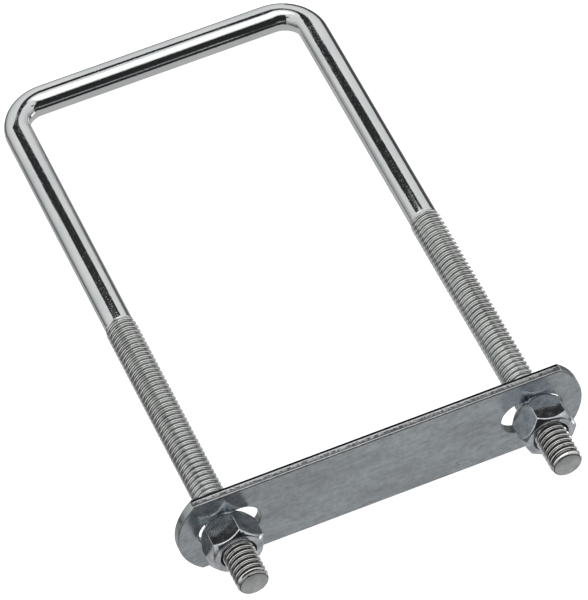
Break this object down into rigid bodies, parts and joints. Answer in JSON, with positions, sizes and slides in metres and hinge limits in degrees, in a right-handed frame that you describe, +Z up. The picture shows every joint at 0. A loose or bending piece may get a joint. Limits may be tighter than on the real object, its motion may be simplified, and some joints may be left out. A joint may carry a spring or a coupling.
{
  "type": "square u-bolt with backing plate",
  "caption": "Square-bend U-bolt in zinc-plated steel, with a slotted backing plate and hex nuts, for clamping a part to a square post or frame tube.",
  "frame": {"origin": "under the middle of the whole object, level with the plate's lower edge, as the clamp lies flat", "axes": "+X along the bow bar and the plate from the left nut to the right nut, +Y along the legs towards the bow, +Z up and square to the plane of the U"},
  "size_m": [0.1016, 0.164, 0.023],
  "materials": {
    "bright_rod": "bright zinc over drawn wire, nearly a mirror on the smooth rod and finely broken up on the rolled thread",
    "plate_zinc": "grey zinc on rolled strip, satin with faint streaks along its length and rough sheared edges",
    "nut_zinc": "zinc on cold-formed nuts, smooth dark flats with bright bevels"
  },
  "bodies": {
    "bolt": {"u_bolt": "bright_rod"},
    "plate": {"back_plate": "plate_zinc"},
    "left_nut": {"nut_left": "nut_zinc"},
    "right_nut": {"nut_right": "nut_zinc"}
  },
  "joints": [
    {"name": "plate_slide", "type": "slide", "parent": "bolt", "child": "plate", "axis": [0, 1, 0], "range_m": [-0.009, 0.062]},
    {"name": "left_nut_turn", "type": "hinge", "parent": "plate", "child": "left_nut", "pos_m": [-0.0391, -0.0685, 0.0115], "axis": [0, 1, 0], "range_deg": [-2310, 15840]},
    {"name": "right_nut_turn", "type": "hinge", "parent": "plate", "child": "right_nut", "pos_m": [0.0391, -0.0685, 0.0115], "axis": [0, 1, 0], "range_deg": [-2310, 15840]}
  ],
  "couplings": [
    {"joint": "left_nut_turn", "follows": "plate_slide", "rad_per_m": 4452.7},
    {"joint": "right_nut_turn", "follows": "plate_slide", "rad_per_m": 4452.7}
  ]
}
